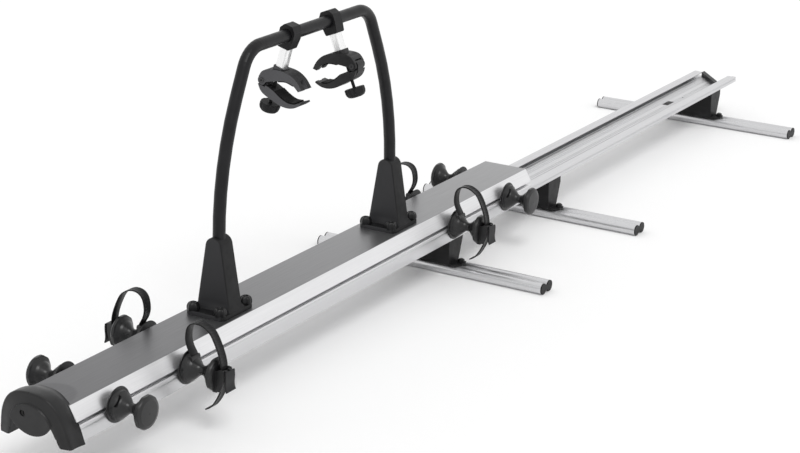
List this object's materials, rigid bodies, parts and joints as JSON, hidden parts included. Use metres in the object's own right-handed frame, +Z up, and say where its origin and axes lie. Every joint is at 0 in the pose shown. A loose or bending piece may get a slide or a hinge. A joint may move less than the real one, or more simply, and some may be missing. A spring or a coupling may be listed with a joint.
{
  "type": "slide-out bike carrier",
  "caption": "Roof bike carrier: a rail on cross bars, a beam that slides out on it, a hoop with frame clamps, and spools with wheel straps along the beam's sides.",
  "frame": {"origin": "on the ground plane under the middle of the whole length and width", "axes": "+X along the rail away from the slide-out end, +Z up"},
  "size_m": [3.6191, 0.7, 0.8104],
  "materials": {
    "anodised": "satin",
    "bright": "polished",
    "tube": "satin",
    "moulding": "matte",
    "jaw": "matte",
    "pad": "matte",
    "steel": "zinc plated",
    "roller": "matte",
    "casting": "powder coated"
  },
  "bodies": {
    "base": {"cross_bars": "anodised", "bar_plugs": "moulding", "brackets": "casting", "bracket_bolts": "steel", "rail": "anodised", "end_stop": "pad", "catch_frame": "moulding", "roller_bracket": "steel", "roller_pin": "steel"},
    "catch": {"catch": "moulding"},
    "front_rollers": {"front_rollers": "roller"},
    "slide": {"beam": "anodised", "cap": "moulding", "carriage": "moulding", "feet": "moulding", "foot_bolts": "moulding", "hoop": "tube"},
    "lock": {"lock": "steel"},
    "rear_rollers": {"rear_rollers": "roller"},
    "clamp_1": {"collar_1": "moulding", "arm_1": "bright", "upper_jaw_1": "jaw", "upper_pad_1": "pad", "jaw_pin_1": "steel"},
    "lower_1": {"lower_jaw_1": "jaw", "lower_pad_1": "pad"},
    "knob_1": {"knob_1": "moulding"},
    "clamp_2": {"collar_2": "moulding", "arm_2": "bright", "upper_jaw_2": "jaw", "upper_pad_2": "pad", "jaw_pin_2": "steel"},
    "lower_2": {"lower_jaw_2": "jaw", "lower_pad_2": "pad"},
    "knob_2": {"knob_2": "moulding"},
    "spool_1": {"spool_1": "moulding", "spool_bolt_1": "steel"},
    "spool_2": {"spool_2": "moulding", "spool_bolt_2": "steel", "strap_1": "moulding"},
    "lever_1": {"lever_1": "moulding"},
    "spool_3": {"spool_3": "moulding", "spool_bolt_3": "steel", "strap_2": "moulding"},
    "lever_2": {"lever_2": "moulding"},
    "spool_4": {"spool_4": "moulding", "spool_bolt_4": "steel"},
    "spool_5": {"spool_5": "moulding", "spool_bolt_5": "steel"},
    "spool_6": {"spool_6": "moulding", "spool_bolt_6": "steel", "strap_3": "moulding"},
    "lever_3": {"lever_3": "moulding"},
    "spool_7": {"spool_7": "moulding", "spool_bolt_7": "steel", "strap_4": "moulding"},
    "lever_4": {"lever_4": "moulding"},
    "spool_8": {"spool_8": "moulding", "spool_bolt_8": "steel"}
  },
  "joints": [
    {"name": "beam_slide", "type": "slide", "parent": "base", "child": "slide", "axis": [1, 0, 0], "range_m": [0, 1.19]},
    {"name": "front_roller_turn", "type": "hinge", "parent": "base", "child": "front_rollers", "pos_m": [-0.17488, 0, 0.1449], "axis": [0, 1, 0], "continuous": true},
    {"name": "rear_roller_turn", "type": "hinge", "parent": "slide", "child": "rear_rollers", "pos_m": [0.17112, 0, 0.125], "axis": [0, 1, 0], "continuous": true},
    {"name": "catch_tip", "type": "hinge", "parent": "base", "child": "catch", "pos_m": [1.37612, -0.006, 0.1116], "axis": [0, -1, 0], "range_deg": [0, 8]},
    {"name": "lock_turn", "type": "hinge", "parent": "slide", "child": "lock", "pos_m": [-1.77688, 0.016, 0.1714], "axis": [1, 0, 0], "range_deg": [0, 90]},
    {"name": "clamp_1_swing", "type": "hinge", "parent": "slide", "child": "clamp_1", "pos_m": [-0.84058, 0, 0.7832], "axis": [1, 0, 0], "range_deg": [-40, 60]},
    {"name": "jaw_1_close", "type": "hinge", "parent": "clamp_1", "child": "lower_1", "pos_m": [-0.84058, 0.06551, 0.66756], "axis": [-1, 0, 0], "range_deg": [0, 14]},
    {"name": "knob_1_turn", "type": "hinge", "parent": "lower_1", "child": "knob_1", "pos_m": [-0.84058, 0.05687, 0.60181], "axis": [0, -0.2689, 0.9632], "range_deg": [0, 350]},
    {"name": "clamp_2_swing", "type": "hinge", "parent": "slide", "child": "clamp_2", "pos_m": [-0.66428, 0, 0.7832], "axis": [-1, 0, 0], "range_deg": [-40, 60]},
    {"name": "jaw_2_close", "type": "hinge", "parent": "clamp_2", "child": "lower_2", "pos_m": [-0.66428, -0.07339, 0.68421], "axis": [1, 0, 0], "range_deg": [0, 14]},
    {"name": "knob_2_turn", "type": "hinge", "parent": "lower_2", "child": "knob_2", "pos_m": [-0.66428, -0.07155, 0.61792], "axis": [0, 0.3665, 0.9304], "range_deg": [0, 350]},
    {"name": "spool_1_slide", "type": "slide", "parent": "slide", "child": "spool_1", "axis": [1, 0, 0], "range_m": [-0.04, 0.04]},
    {"name": "spool_2_slide", "type": "slide", "parent": "slide", "child": "spool_2", "axis": [1, 0, 0], "range_m": [-0.04, 0.04]},
    {"name": "lever_1_lift", "type": "hinge", "parent": "spool_2", "child": "lever_1", "pos_m": [-1.36908, -0.1911, 0.164], "axis": [-1, 0, 0], "range_deg": [0, 80]},
    {"name": "spool_3_slide", "type": "slide", "parent": "slide", "child": "spool_3", "axis": [1, 0, 0], "range_m": [-0.04, 0.04]},
    {"name": "lever_2_lift", "type": "hinge", "parent": "spool_3", "child": "lever_2", "pos_m": [-0.18018, -0.1911, 0.164], "axis": [-1, 0, 0], "range_deg": [0, 80]},
    {"name": "spool_4_slide", "type": "slide", "parent": "slide", "child": "spool_4", "axis": [1, 0, 0], "range_m": [-0.04, 0.04]},
    {"name": "spool_5_slide", "type": "slide", "parent": "slide", "child": "spool_5", "axis": [1, 0, 0], "range_m": [-0.04, 0.04]},
    {"name": "spool_6_slide", "type": "slide", "parent": "slide", "child": "spool_6", "axis": [1, 0, 0], "range_m": [-0.04, 0.04]},
    {"name": "lever_3_lift", "type": "hinge", "parent": "spool_6", "child": "lever_3", "pos_m": [-1.28188, 0.1911, 0.164], "axis": [1, 0, 0], "range_deg": [0, 80]},
    {"name": "spool_7_slide", "type": "slide", "parent": "slide", "child": "spool_7", "axis": [1, 0, 0], "range_m": [-0.04, 0.04]},
    {"name": "lever_4_lift", "type": "hinge", "parent": "spool_7", "child": "lever_4", "pos_m": [-0.08988, 0.1911, 0.164], "axis": [1, 0, 0], "range_deg": [0, 80]},
    {"name": "spool_8_slide", "type": "slide", "parent": "slide", "child": "spool_8", "axis": [1, 0, 0], "range_m": [-0.04, 0.04]}
  ],
  "couplings": [
    {"joint": "front_roller_turn", "follows": "beam_slide", "rad_per_m": 100},
    {"joint": "rear_roller_turn", "follows": "beam_slide", "rad_per_m": -190.48},
    {"joint": "knob_1_turn", "follows": "jaw_1_close", "ratio": 25},
    {"joint": "knob_2_turn", "follows": "jaw_2_close", "ratio": 25}
  ]
}
